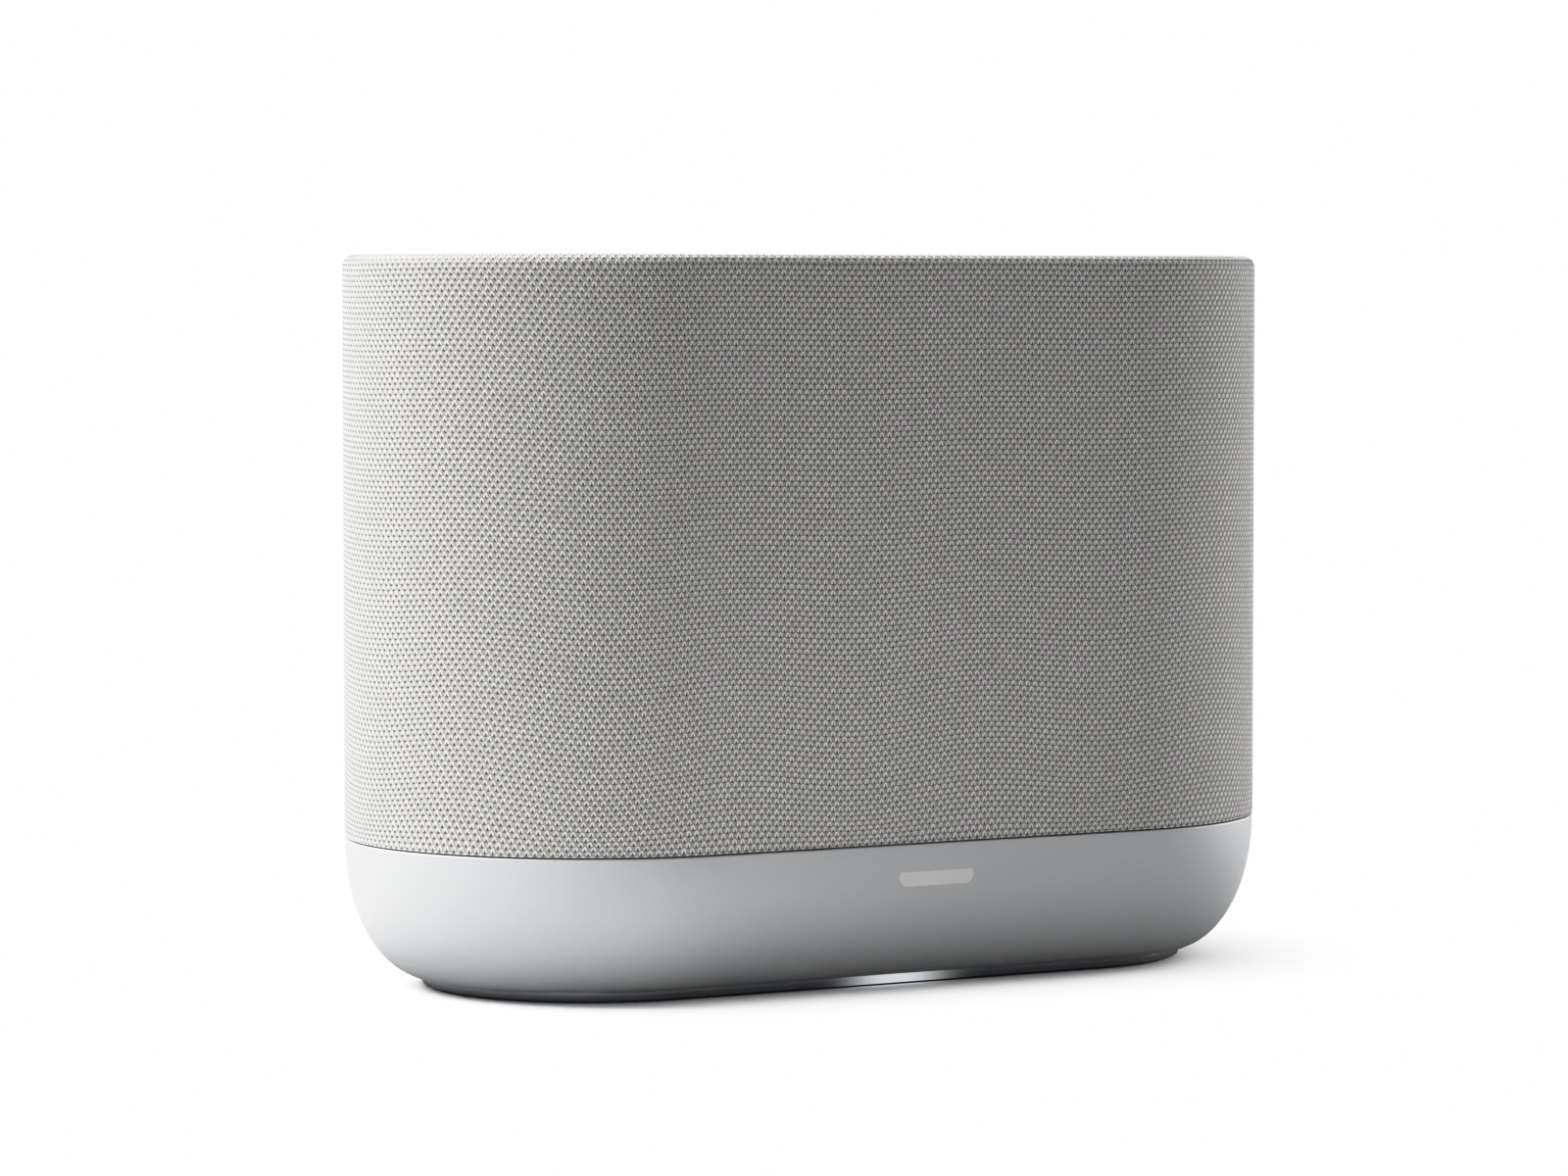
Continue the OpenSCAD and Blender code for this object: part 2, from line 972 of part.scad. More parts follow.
on_baffle(woofer_x, woofer_z) woofer_basket();  // woofer_right_basket
on_baffle(woofer_x, woofer_z) woofer_magnet();  // woofer_right_magnet
on_baffle(woofer_x, woofer_z) woofer_surround();  // woofer_right_surround
on_baffle(woofer_x, woofer_z) woofer_spider();  // woofer_right_spider
on_baffle(woofer_x, woofer_z) woofer_cone();  // woofer_right_cone
on_baffle(woofer_x, woofer_z) woofer_dust_cap();  // woofer_right_dust_cap
on_baffle(woofer_x, woofer_z) woofer_voice_coil();  // woofer_right_voice_coil
on_baffle(-tweeter_x, tweeter_z) tweeter_faceplate();  // tweeter_left_faceplate
on_baffle(-tweeter_x, tweeter_z) tweeter_magnet();  // tweeter_left_magnet
on_baffle(-tweeter_x, tweeter_z) tweeter_surround();  // tweeter_left_surround
on_baffle(-tweeter_x, tweeter_z) tweeter_dome();  // tweeter_left_dome
on_baffle(tweeter_x, tweeter_z) tweeter_faceplate();  // tweeter_right_faceplate
on_baffle(tweeter_x, tweeter_z) tweeter_magnet();  // tweeter_right_magnet
on_baffle(tweeter_x, tweeter_z) tweeter_surround();  // tweeter_right_surround
on_baffle(tweeter_x, tweeter_z) tweeter_dome();  // tweeter_right_dome
radiator_frame();
radiator_surround();
radiator_plate();
main_board();
heatsink();
power_board();
transformer();
capacitors();
antennas();
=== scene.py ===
"""The looks of the smart speaker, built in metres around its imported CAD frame."""
import json
import math

import bmesh
import bpy
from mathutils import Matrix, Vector


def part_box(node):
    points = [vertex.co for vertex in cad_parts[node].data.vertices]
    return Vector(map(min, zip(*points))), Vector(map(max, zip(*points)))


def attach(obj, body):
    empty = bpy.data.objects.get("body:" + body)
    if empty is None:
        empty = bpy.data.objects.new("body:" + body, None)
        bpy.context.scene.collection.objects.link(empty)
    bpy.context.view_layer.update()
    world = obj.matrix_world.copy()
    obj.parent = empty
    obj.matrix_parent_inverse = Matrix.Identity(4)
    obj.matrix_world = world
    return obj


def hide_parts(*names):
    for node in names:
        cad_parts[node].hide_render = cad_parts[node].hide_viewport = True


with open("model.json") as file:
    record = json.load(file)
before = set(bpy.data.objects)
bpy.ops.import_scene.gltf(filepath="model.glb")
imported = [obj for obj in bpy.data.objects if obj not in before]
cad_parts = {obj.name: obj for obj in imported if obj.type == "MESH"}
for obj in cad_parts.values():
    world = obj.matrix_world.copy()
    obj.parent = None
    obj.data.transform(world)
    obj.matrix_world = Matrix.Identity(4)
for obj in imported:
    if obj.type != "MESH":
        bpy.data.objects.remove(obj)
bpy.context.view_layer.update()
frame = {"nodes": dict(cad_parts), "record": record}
NODES = frame["nodes"]
MM = 0.001

# steps round curved outlines
STADIUM_STEPS = 64
PILL_STEPS = 16
LATHE_STEPS = 72
ROUND_STEPS = 96

# ---------------------------------------------------------------- sizes taken from the frame
cloth_low, cloth_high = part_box("fabric_sleeve")
bowl_low, bowl_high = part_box("base_shell")
ring_low, ring_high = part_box("light_ring")
foot_low, foot_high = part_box("foot_pad")
gasket_low, gasket_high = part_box("seam_gasket")
panel_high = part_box("top_panel")[1]
back_panel_low, back_panel_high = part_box("connector_panel")
badge_low, badge_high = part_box("badge")
END_R = cloth_high.y
REACH = cloth_high.x - END_R


# ---------------------------------------------------------------- mesh helpers
def add_mesh(name, verts, faces):
    mesh = bpy.data.meshes.new(name)
    mesh.from_pydata(verts, [], faces)
    mesh.validate()
    mesh.shade_smooth()
    obj = bpy.data.objects.new(name, mesh)
    bpy.context.scene.collection.objects.link(obj)
    return obj


def stadium_stations(back_xs, round_steps):
    """Places round the stadium, counter-clockwise from the middle of the back, as (centre x, normal).

    back_xs are the places along the back from the middle to REACH, and the front repeats them.
    """
    half = sorted(back_xs)
    quarter_turn = math.pi / 2
    stations = [(-x, Vector((0, 1))) for x in half]
    for i in range(1, round_steps):
        a = quarter_turn + math.pi * i / round_steps
        stations.append((-REACH, Vector((math.cos(a), math.sin(a)))))
    front = sorted({-x for x in half} | set(half))
    stations += [(x, Vector((0, -1))) for x in front]
    for i in range(1, round_steps):
        a = -quarter_turn + math.pi * i / round_steps
        stations.append((REACH, Vector((math.cos(a), math.sin(a)))))
    return stations + [(x, Vector((0, 1))) for x in reversed(half) if x > 0]


def station_at(s):
    """Centre and outward normal at a distance s along the cloth, leftwards from the back's middle."""
    side, end = 2 * REACH, math.pi * END_R
    if s < REACH:
        return -s, Vector((0, 1))
    s -= REACH
    if s < end:
        a = math.pi / 2 + s / END_R
        return -REACH, Vector((math.cos(a), math.sin(a)))
    s -= end
    if s < side:
        return -REACH + s, Vector((0, -1))
    s -= side
    if s < end:
        a = -math.pi / 2 + s / END_R
        return REACH, Vector((math.cos(a), math.sin(a)))
    return REACH - (s - end), Vector((0, 1))


def sweep(name, profile, stations, closed=False, skip=None):
    """Carries a profile of (radius, height) round the stations. skip(i, j) leaves out a face."""
    verts = []
    for centre, normal in stations:
        for r, z in profile:
            verts.append((centre + normal.x * r, normal.y * r, z))
    rows, cols = len(profile), len(stations)
    faces = []
    for i in range(cols):
        for j in range(rows if closed else rows - 1):
            if skip and skip(i, j):
                continue
            nxt, up = (i + 1) % cols, (j + 1) % rows
            faces.append((i * rows + j, i * rows + up, nxt * rows + up, nxt * rows + j))
    return add_mesh(name, verts, faces)


def spread(low, high, count):
    return [low + (high - low) * i / count for i in range(count + 1)]


def arc(cx, cz, r, start, end, steps):
    """Points on an arc in a profile, angles in degrees from the outward direction."""
    out = []
    for i in range(steps + 1):
        a = math.radians(start + (end - start) * i / steps)
        out.append((cx + r * math.cos(a), cz + r * math.sin(a)))
    return out


def modifier(obj, kind, **values):
    mod = obj.modifiers.new(kind.title(), kind)
    for key, value in values.items():
        setattr(mod, key, value)
    return mod


def outline_plate(name, loops, low, high, edge, axis="z"):
    """A plate with rounded edges from closed outlines; the outlines inside the first are holes."""
    curve = bpy.data.curves.new(name, "CURVE")
    curve.dimensions = "2D"
    curve.fill_mode = "BOTH"
    curve.extrude = (high - low) / 2 - edge
    curve.bevel_depth = edge
    curve.bevel_resolution = 3
    curve.offset = -edge
    for loop in loops:
        spline = curve.splines.new("POLY")
        spline.points.add(len(loop) - 1)
        spline.use_cyclic_u = True
        for point, (x, y) in zip(spline.points, loop):
            point.co = (x, y, 0, 1)
    holder = bpy.data.objects.new(name, curve)
    bpy.context.scene.collection.objects.link(holder)
    mesh = bpy.data.meshes.new_from_object(holder.evaluated_get(bpy.context.evaluated_depsgraph_get()))
    bpy.data.objects.remove(holder)
    bm = bmesh.new()
    bm.from_mesh(mesh)
    bmesh.ops.remove_doubles(bm, verts=bm.verts, dist=1e-6)
    bm.to_mesh(mesh)
    bm.free()
    mid = (low + high) / 2
    for v in mesh.vertices:
        x, y, z = v.co
        v.co = (x, y, mid + z) if axis == "z" else (x, mid - z, y)
    mesh.shade_smooth()
    mesh.set_sharp_from_angle(angle=math.radians(50))
    for face in mesh.polygons:
        face.use_smooth = abs(face.normal.z if axis == "z" else face.normal.y) < 0.999
    mesh.name = name
    obj = bpy.data.objects.new(name, mesh)
    bpy.context.scene.collection.objects.link(obj)
    return obj


def circle_loop(cx, cy, r, steps=STADIUM_STEPS):
    return [(cx + r * math.cos(2 * math.pi * i / steps), cy + r * math.sin(2 * math.pi * i / steps))
            for i in range(steps)]


def stadium_loop(r):
    left = [(-REACH + r * math.cos(a), r * math.sin(a))
            for a in spread(math.pi / 2, 3 * math.pi / 2, STADIUM_STEPS)]
    right = [(REACH + r * math.cos(a), r * math.sin(a))
             for a in spread(-math.pi / 2, math.pi / 2, STADIUM_STEPS)]
    return left + right


def pill_loop(cx, cy, w, h):
    r, half = h / 2, (w - h) / 2
    left = [(cx - half + r * math.cos(a), cy + r * math.sin(a))
            for a in spread(math.pi / 2, 3 * math.pi / 2, PILL_STEPS)]
    right = [(cx + half + r * math.cos(a), cy + r * math.sin(a))
             for a in spread(-math.pi / 2, math.pi / 2, PILL_STEPS)]
    return left + right


def lathe(name, profile, centre):
    """Turns a profile of (radius, height) about a vertical axis through centre."""
    verts, faces, rows = [], [], len(profile)
    for i in range(LATHE_STEPS):
        a = 2 * math.pi * i / LATHE_STEPS
        verts += [(centre[0] + r * math.cos(a), centre[1] + r * math.sin(a), z) for r, z in profile]
    for i in range(LATHE_STEPS):
        nxt = (i + 1) % LATHE_STEPS
        for j in range(rows - 1):
            faces.append((i * rows + j, nxt * rows + j, nxt * rows + j + 1, i * rows + j + 1))
    obj = add_mesh(name, verts, faces)
    bm = bmesh.new()
    bm.from_mesh(obj.data)
    bmesh.ops.remove_doubles(bm, verts=bm.verts, dist=1e-7)
    bmesh.ops.recalc_face_normals(bm, faces=bm.faces)
    bm.to_mesh(obj.data)
    bm.free()
    return obj


# ---------------------------------------------------------------- material helpers
class Graph:
    """A material's nodes, with short calls for the ones used here."""

    def __init__(self, name):
        self.material = bpy.data.materials.new(name)
        self.material.use_nodes = True
        self.tree = self.material.node_tree
        self.shader = self.tree.nodes["Principled BSDF"]

    def add(self, kind, inputs=None, **settings):
        node = self.tree.nodes.new(kind)
        for key, value in settings.items():
            setattr(node, key, value)
        for key, value in (inputs or {}).items():
            self.feed(node.inputs[key], value)
        return node

    def feed(self, socket, value):
        if isinstance(value, bpy.types.NodeSocket):
            self.tree.links.new(value, socket)
        elif value is not None:
            socket.default_value = value

    def math(self, operation, a, b=None, c=None):
        node = self.add("ShaderNodeMath", operation=operation)
        for socket, value in zip(node.inputs, (a, b, c)):
            self.feed(socket, value)
        return node.outputs[0]

    def step(self, value, low, high):
        """Goes smoothly from 0 at low to 1 at high."""
        node = self.add("ShaderNodeMapRange", {"Value": value, "From Min": low, "From Max": high},
                        interpolation_type="SMOOTHSTEP")
        return node.outputs["Result"]

    def scaled(self, value, low, high):
        """Takes a 0 to 1 value to low to high."""
        node = self.add("ShaderNodeMapRange", {"Value": value, "To Min": low, "To Max": high})
        return node.outputs["Result"]

    def mix(self, factor, a, b):
        node = self.add("ShaderNodeMix", data_type="RGBA")
        self.feed(node.inputs["Factor"], factor)
        self.feed(node.inputs[6], a)
        self.feed(node.inputs[7], b)
        return node.outputs[2]

    def place(self, scale=(1, 1, 1)):
        coord = self.add("ShaderNodeTexCoord").outputs["Object"]
        return self.add("ShaderNodeMapping", {"Vector": coord, "Scale": scale}).outputs["Vector"]

    def noise(self, scale, stretch=(1, 1, 1), detail=2.0, vector=None):
        where = vector if vector is not None else self.place(stretch)
        node = self.add("ShaderNodeTexNoise", {"Vector": where, "Scale": scale, "Detail": detail})
        return node.outputs["Fac"]

    def square_cells(self, scale):
        """How far each point is from the edge of its cell in a square grid."""
        node = self.add("ShaderNodeTexVoronoi", {"Vector": self.place(), "Scale": scale, "Randomness": 0.0},
                        feature="DISTANCE_TO_EDGE")
        return node.outputs["Distance"]

    def bump(self, height, distance, strength=1.0):
        node = self.add("ShaderNodeBump", {"Height": height, "Distance": distance, "Strength": strength})
        self.feed(self.shader.inputs["Normal"], node.outputs["Normal"])

    def set(self, **values):
        for key, value in values.items():
            self.feed(self.shader.inputs[key.replace("_", " ")], value)
        return self.material


def grey(value, tint=(1, 1, 1)):
    return (value * tint[0], value * tint[1], value * tint[2], 1)


def dress(obj, material):
    obj.data.materials.clear()
    obj.data.materials.append(material)


def moulded(name, dark, light, roughness, grain=3500, depth=0.00002, metallic=0.0):
    """Moulded plastic: a fine spark-eroded grain, with soft cloudy changes of tone and gloss."""
    g = Graph(name)
    cloud = g.noise(35, detail=3)
    fine = g.noise(grain, detail=1)
    g.bump(fine, depth, 0.6)
    return g.set(Base_Color=g.mix(cloud, dark, light), Metallic=metallic,
                 Roughness=g.scaled(g.noise(90), roughness - 0.06, roughness + 0.06))


def metal(name, dark, light, roughness, stretch=(1, 1, 1), scale=900):
    """Plain metal with fine scratches along one direction."""
    g = Graph(name)
    lines = g.noise(scale, stretch, detail=3)
    g.bump(lines, 0.00001, 0.5)
    return g.set(Base_Color=g.mix(lines, dark, light), Metallic=1.0,
                 Roughness=g.scaled(lines, roughness - 0.08, roughness + 0.08))


# ---------------------------------------------------------------- camera
def make_camera():
    """A long lens, just below the height of the top edge, looking a little down at the front's left."""
    turn, pitch = math.radians(30.90), math.radians(3.025)
    distance, height = 1.742, 0.2092
    data = bpy.data.cameras.new("camera")
    data.sensor_width = 36
    data.lens = 130.4
    data.shift_x = -0.0157
    data.dof.use_dof = False
    camera = bpy.data.objects.new("camera", data)
    camera.location = (-math.sin(turn) * distance, -math.cos(turn) * distance, height)
    camera.rotation_euler = (math.pi / 2 - pitch, 0, -turn)
    bpy.context.scene.collection.objects.link(camera)
    bpy.context.scene.camera = camera


make_camera()

# ---------------------------------------------------------------- cloth
LOOP_W = 2.57 * MM
ROW_H = 1.57 * MM
RELIEF = 0.36 * MM
CLOTH_ROLL = 3.5 * MM
CLOTH_LIP = 7.3 * MM
LIP_DROP = 2.6 * MM
LIP_ROUND = 0.5 * MM
# waves in the rows near the seam
WAVE_HEIGHT = 2.6 * MM
WAVES_ROUND = 9
WAVE_PHASE = -2.7
WAVE_RISE = 14 * MM
WAVE_FADE = 60 * MM
# one stitch: its arch, then height, half width and half height of its two dark spots, which are painted
# shade in the hole and a painted shadow under the arch
ARCH_TOP = 0.31
ARCH_FOOT = 0.14
ARCH_HALF_WIDTH = 0.34
STITCH_HOLE_SHADE = (-0.12, 0.09, 0.15)
STITCH_FOOT_SHADOW = (-0.27, 0.36, 0.13)
# sideways bow of the columns, centred this far round from the middle of the back
LEAN = 0.16
LEAN_HEIGHT = 183 * MM
LEAN_MIDDLE = 225 * MM
LEAN_SPREAD = 75 * MM


def cloth_profile():
    """From the seam up, over the rolled edge and in to the lip, as (radius, height, outward, up)."""
    top = cloth_high.z
    points = [(END_R, z, 1, 0) for z in spread(cloth_low.z, top - CLOTH_ROLL,
                                               round((top - CLOTH_ROLL - cloth_low.z) / ROW_H))]
    for a in spread(0, 90, 5)[1:]:
        c, s = math.cos(math.radians(a)), math.sin(math.radians(a))
        points.append((END_R - CLOTH_ROLL + CLOTH_ROLL * c, top - CLOTH_ROLL + CLOTH_ROLL * s, c, s))
    for r in spread(END_R - CLOTH_ROLL, END_R - CLOTH_LIP, 2)[1:]:
        points.append((r, top, 0, 1))
    points.append((END_R - CLOTH_LIP - LIP_ROUND, top - LIP_ROUND, -0.7, 0.7))
    points.append((END_R - CLOTH_LIP - LIP_ROUND, top - LIP_DROP, -1, 0))
    return points


def drawn_up(around_share, height):
    """How far the rows are drawn up, in waves that start at the seam and fade above it."""
    grip = (1 - math.exp(-height / WAVE_RISE)) * math.exp(-height / WAVE_FADE)
    return WAVE_HEIGHT * grip * math.sin(2 * math.pi * WAVES_ROUND * around_share + WAVE_PHASE)


def leaned(s, height):
    """How far the columns bow sideways over the left end."""
    on_left_end = math.exp(-((s - LEAN_MIDDLE) / LEAN_SPREAD) ** 4)
    return LEAN * height * (1 - height / LEAN_HEIGHT) * on_left_end


def make_cloth():
    """The knitted sleeve: one raised vertex for each stitch, staggered from row to row."""
    perimeter = 4 * REACH + 2 * math.pi * END_R
    loops = round(perimeter / LOOP_W)
    columns = 2 * loops
    profile = cloth_profile()
    row = profile[1][1] - profile[0][1]
    verts, stitch, rows = [], [], len(profile)
    for i in range(columns):
        s = perimeter * i / columns
        run = 0.0
        for j, (r, z, out, up) in enumerate(profile):
            if j:
                run += math.hypot(r - profile[j - 1][0], z - profile[j - 1][1]) / row
            height = z - cloth_low.z
            centre, normal = station_at((s + leaned(s, height)) % perimeter)
            lift = RELIEF * (0.5 if (i + j) % 2 == 0 else -0.5) * (1 if 0 < j < rows - 2 else 0)
            radius = r + lift * out
            rise = lift * up + (drawn_up(i / columns, height) if out == 1 else 0)
            verts.append((centre + normal.x * radius, normal.y * radius, z + rise))
            stitch.append((i / 2, run))
    faces = []
    for i in range(columns):
        here, beyond = i * rows, ((i + 1) % columns) * rows
        faces += [(here + j, beyond + j, beyond + j + 1, here + j + 1) for j in range(rows - 1)]
    cloth = add_mesh("cloth_sleeve", verts, faces)
    where = cloth.data.attributes.new("stitch", "FLOAT_VECTOR", "CORNER")
    values = []
    for polygon in cloth.data.polygons:
        wraps = max(polygon.vertices) // rows - min(polygon.vertices) // rows > 1
        for v in polygon.vertices:
            u, w = stitch[v]
            values += [u + loops if wraps and v < rows else u, w, 0]
    where.data.foreach_set("vector", values)
    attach(cloth, "housing")
    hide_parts("fabric_sleeve")
    dress(cloth, knit_material())
    return cloth


def knit_material():
    """Staggered stitches, one to each diamond: a pale arch over a dark hole, between taupe threads. The
    hole, a spot under each arch and the ground inside each diamond are darkened with painted shade.

    Inside a diamond x runs from its centre line outwards and y upwards, both in stitches.
    """
    g = Graph("knit")
    where = g.add("ShaderNodeAttribute", attribute_name="stitch").outputs["Vector"]
    wobble = g.add("ShaderNodeTexNoise", {"Vector": where, "Scale": 0.8, "Detail": 1.0}).outputs["Color"]
    shaken = g.add("ShaderNodeVectorMath", {0: wobble, 1: (0.2, 0.24, 0), 2: where},
                   operation="MULTIPLY_ADD").outputs["Vector"]
    split = g.add("ShaderNodeSeparateXYZ", {"Vector": shaken})
    u, v = split.outputs["X"], g.math("MULTIPLY", split.outputs["Y"], 0.5)
    rising = g.math("ADD", g.math("ADD", u, v), 0.5)
    falling = g.math("ADD", g.math("SUBTRACT", u, v), 0.5)
    p = g.math("SUBTRACT", g.math("FRACT", rising), 0.5)
    q = g.math("SUBTRACT", g.math("FRACT", falling), 0.5)
    x = g.math("ABSOLUTE", g.math("MULTIPLY", g.math("ADD", p, q), 0.5))
    y = g.math("MULTIPLY", g.math("SUBTRACT", p, q), 0.5)
    seed = g.add("ShaderNodeCombineXYZ", {"X": g.math("FLOOR", rising), "Y": g.math("FLOOR", falling)})
    own = g.add("ShaderNodeTexWhiteNoise", {"Vector": seed.outputs[0]}, noise_dimensions="3D")

    def spot(height, half_w, half_h):
        """A soft spot on the stitch's centre line, 1 at its middle."""
        along = g.math("POWER", g.math("DIVIDE", x, half_w), 2)
        upward = g.math("POWER", g.math("DIVIDE", g.math("SUBTRACT", y, height), half_h), 2)
        return g.math("EXPONENT", g.math("MULTIPLY", g.math("ADD", along, upward), -1))

    roof = g.math("SUBTRACT", ARCH_TOP, g.math("MULTIPLY_ADD", x, 0.75, y))
    skirt = g.math("MULTIPLY_ADD", x, 0.5, g.math("ADD", y, ARCH_FOOT))
    cheek = g.math("SUBTRACT", ARCH_HALF_WIDTH, x)
    arch = g.math("MULTIPLY", g.math("MULTIPLY", g.step(roof, -0.04, 0.16), g.step(skirt, -0.10, 0.14)),
                  g.step(cheek, -0.04, 0.16))
    # painted shade: a near-black spot in each stitch's hole, and a painted shadow spot under its arch
    hole_shade = spot(*STITCH_HOLE_SHADE)
    foot = spot(*STITCH_FOOT_SHADOW)
    strands = g.add("ShaderNodeTexNoise", {"Vector": shaken, "Scale": 7.0, "Detail": 2.0}).outputs["Fac"]
    streaks = g.noise(1, vector=g.add("ShaderNodeMapping", {"Vector": where, "Scale": (0.06, 0.6, 1)})
                      .outputs["Vector"], detail=3)
    yarn = g.mix(own.outputs["Value"], grey(0.76, (1, 0.97, 0.94)), grey(0.86, (0.975, 0.965, 1.01)))
    yarn = g.mix(0.05, yarn, own.outputs["Color"])
    thread = g.mix(streaks, grey(0.28, (1, 0.93, 0.80)), grey(0.40, (1, 0.96, 0.88)))
    thread = g.mix(g.step(strands, 0.4, 0.7), thread, grey(0.44, (1, 0.96, 0.87)))
    # painted shade: the ground goes from taupe thread at the diamond's edges to dark grey inside it, then
    # takes the painted shadow under the arch
    inward = g.math("SUBTRACT", 0.5, g.math("MAXIMUM", g.math("ABSOLUTE", p), g.math("ABSOLUTE", q)))
    ground = g.mix(g.step(inward, 0.02, 0.16), thread, grey(0.17, (1, 0.99, 0.95)))
    ground = g.mix(foot, ground, grey(0.05, (1, 0.98, 0.95)))
    base = g.mix(hole_shade, g.mix(arch, ground, yarn), grey(0.03))
    sunk = g.math("SUBTRACT", 1, g.math("MAXIMUM", hole_shade, foot))
    height = g.math("MULTIPLY", g.math("ADD", arch, 0.4), sunk)
    g.bump(g.math("MULTIPLY_ADD", strands, 0.2, height), 0.4 * MM, 0.8)
    g.set(Base_Color=base, Roughness=g.scaled(strands, 0.75, 0.95))
    g.set(Sheen_Weight=0.6, Sheen_Roughness=0.35, Specular_IOR_Level=0.2)
    return g.material


make_cloth()

# ---------------------------------------------------------------- bowl
RING_WIDTH = 6 * MM
BOWL_INSET = 24 * MM
BOWL_DROP = 41 * MM
BOWL_RIM = 0.8 * MM
BOWL_WALL = 2.3 * MM
BOWL_STEPS = 36
SKIN_GAP = 0.1 * MM
RECESS_SIDE = back_panel_high.x + SKIN_GAP
RECESS_LOW = back_panel_low.z - SKIN_GAP
RECESS_HIGH = back_panel_high.z + SKIN_GAP
RECESS_DEPTH = back_panel_low.y


def bowl_profile():
    """From the inside of the rim, over it, down the quarter ellipse and in to the plinth."""
    top, foot = bowl_high.z, bowl_low.z
    start = top - BOWL_RIM
    angles = set(spread(0, math.asin((start - foot) / BOWL_DROP), BOWL_STEPS))
    for z in (RECESS_LOW, RECESS_HIGH):
        angles.add(math.asin((start - z) / BOWL_DROP))
    edge = 0.5 * MM
    rim = [(END_R - RING_WIDTH, top)] + arc(END_R - edge, top - edge, edge, 90, 0, 4)
    side = [(END_R - BOWL_INSET * (1 - math.cos(t)), start - BOWL_DROP * math.sin(t))
            for t in sorted(angles)]
    return rim + side + [(ring_high.y - RING_WIDTH, foot)]


def make_bowl():
    """The moulded bowl, open at the back for the connectors, with walls of even thickness."""
    xs = sorted(set(spread(0, RECESS_SIDE, 6) + spread(RECESS_SIDE, REACH, 4)))
    stations = stadium_stations(xs, ROUND_STEPS)
    profile = bowl_profile()

    def in_recess(i, j):
        (x0, n0), (x1, n1) = stations[i], stations[(i + 1) % len(stations)]
        mid_x, mid_z = (x0 + x1) / 2, (profile[j][1] + profile[j + 1][1]) / 2
        on_back = n0.y > 0.999 and n1.y > 0.999
        return on_back and abs(mid_x) < RECESS_SIDE and RECESS_LOW < mid_z < RECESS_HIGH

    bowl = sweep("bowl", profile, stations, skip=in_recess)
    bm = bmesh.new()
    bm.from_mesh(bowl.data)
    mouth = [e for e in bm.edges if e.is_boundary
             and all(RECESS_LOW - 1e-6 < v.co.z < RECESS_HIGH + 1e-6 and v.co.y > 0
                     and abs(v.co.x) < RECESS_SIDE + 1e-6 for v in e.verts)]
    pulled = bmesh.ops.extrude_edge_only(bm, edges=mouth)
    for v in pulled["geom"]:
        if isinstance(v, bmesh.types.BMVert):
            v.co.y = RECESS_DEPTH
    bmesh.ops.recalc_face_normals(bm, faces=bm.faces)
    underside = [f for f in bm.faces if f.calc_center_median().z < bowl_low.z + 1e-5]
    if sum(f.normal.z * f.calc_area() for f in underside) > 0:
        bmesh.ops.reverse_faces(bm, faces=bm.faces)
    bm.to_mesh(bowl.data)
    bm.free()
    bowl.data.set_sharp_from_angle(angle=math.radians(40))
    modifier(bowl, "SOLIDIFY", thickness=BOWL_WALL, offset=-1, use_even_offset=True)
    modifier(bowl, "BEVEL", width=0.35 * MM, segments=2, limit_method="ANGLE", angle_limit=math.radians(50))
    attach(bowl, "housing")
    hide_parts("base_shell")
    dress(bowl, bowl_material())


def bowl_material():
    """Satin metallic finish with a faint grain that runs round the bowl."""
    g = Graph("satin_bowl")
    grain = g.noise(600, (1, 1, 9), detail=3)
    fine = g.noise(2600, detail=1)
    cloud = g.noise(18, detail=2)
    tone = g.mix(grain, grey(0.46, (0.98, 1, 1.02)), grey(0.515, (0.98, 1, 1.02)))
    g.bump(g.math("ADD", grain, fine), 0.00001, 0.5)
    return g.set(Base_Color=tone, Metallic=0.28, Roughness=g.scaled(cloud, 0.5, 0.56),
                 Specular_IOR_Level=0.3)


make_bowl()

# ---------------------------------------------------------------- plinth, foot and seam
GLOW_HALF = 14.5 * MM


def rounded_ring(r_out, r_in, low, high, edge):
    """A closed ring profile with rounded outer edges."""
    return ([(r_in, low)] + arc(r_out - edge, low + edge, edge, -90, 0, 4)
            + arc(r_out - edge, high - edge, edge, 0, 90, 4) + [(r_in, high)])


def closed_sweep(name, profile):
    obj = sweep(name, profile, stadium_stations(spread(0, REACH, 14), ROUND_STEPS), closed=True)
    bm = bmesh.new()
    bm.from_mesh(obj.data)
    bmesh.ops.recalc_face_normals(bm, faces=bm.faces)
    bm.to_mesh(obj.data)
    bm.free()
    obj.data.set_sharp_from_angle(angle=math.radians(50))
    return obj


def make_plinth():
    ring = closed_sweep("plinth_lens", rounded_ring(ring_high.y, ring_high.y - RING_WIDTH, ring_low.z,
                                                    ring_high.z, 0.5 * MM))
    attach(ring, "housing")
    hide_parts("light_ring")
    dress(ring, lens_material())
    foot = outline_plate("rubber_foot", [stadium_loop(foot_high.y)], foot_low.z, foot_high.z, 0.2 * MM)
    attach(foot, "housing")
    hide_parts("foot_pad")
    dress(foot, RUBBER)
    # the seam ring is rubber, and its dark colour also stands in for the shade in the gap between cloth and
    # bowl, as painted shade
    seam = closed_sweep("seam_shade_trim", rounded_ring(gasket_high.y, gasket_high.y - 7 * MM, gasket_low.z,
                                                  gasket_high.z, 0.2 * MM))
    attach(seam, "housing")
    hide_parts("seam_gasket")
    dress(seam, SEAM_SHADE_RUBBER)


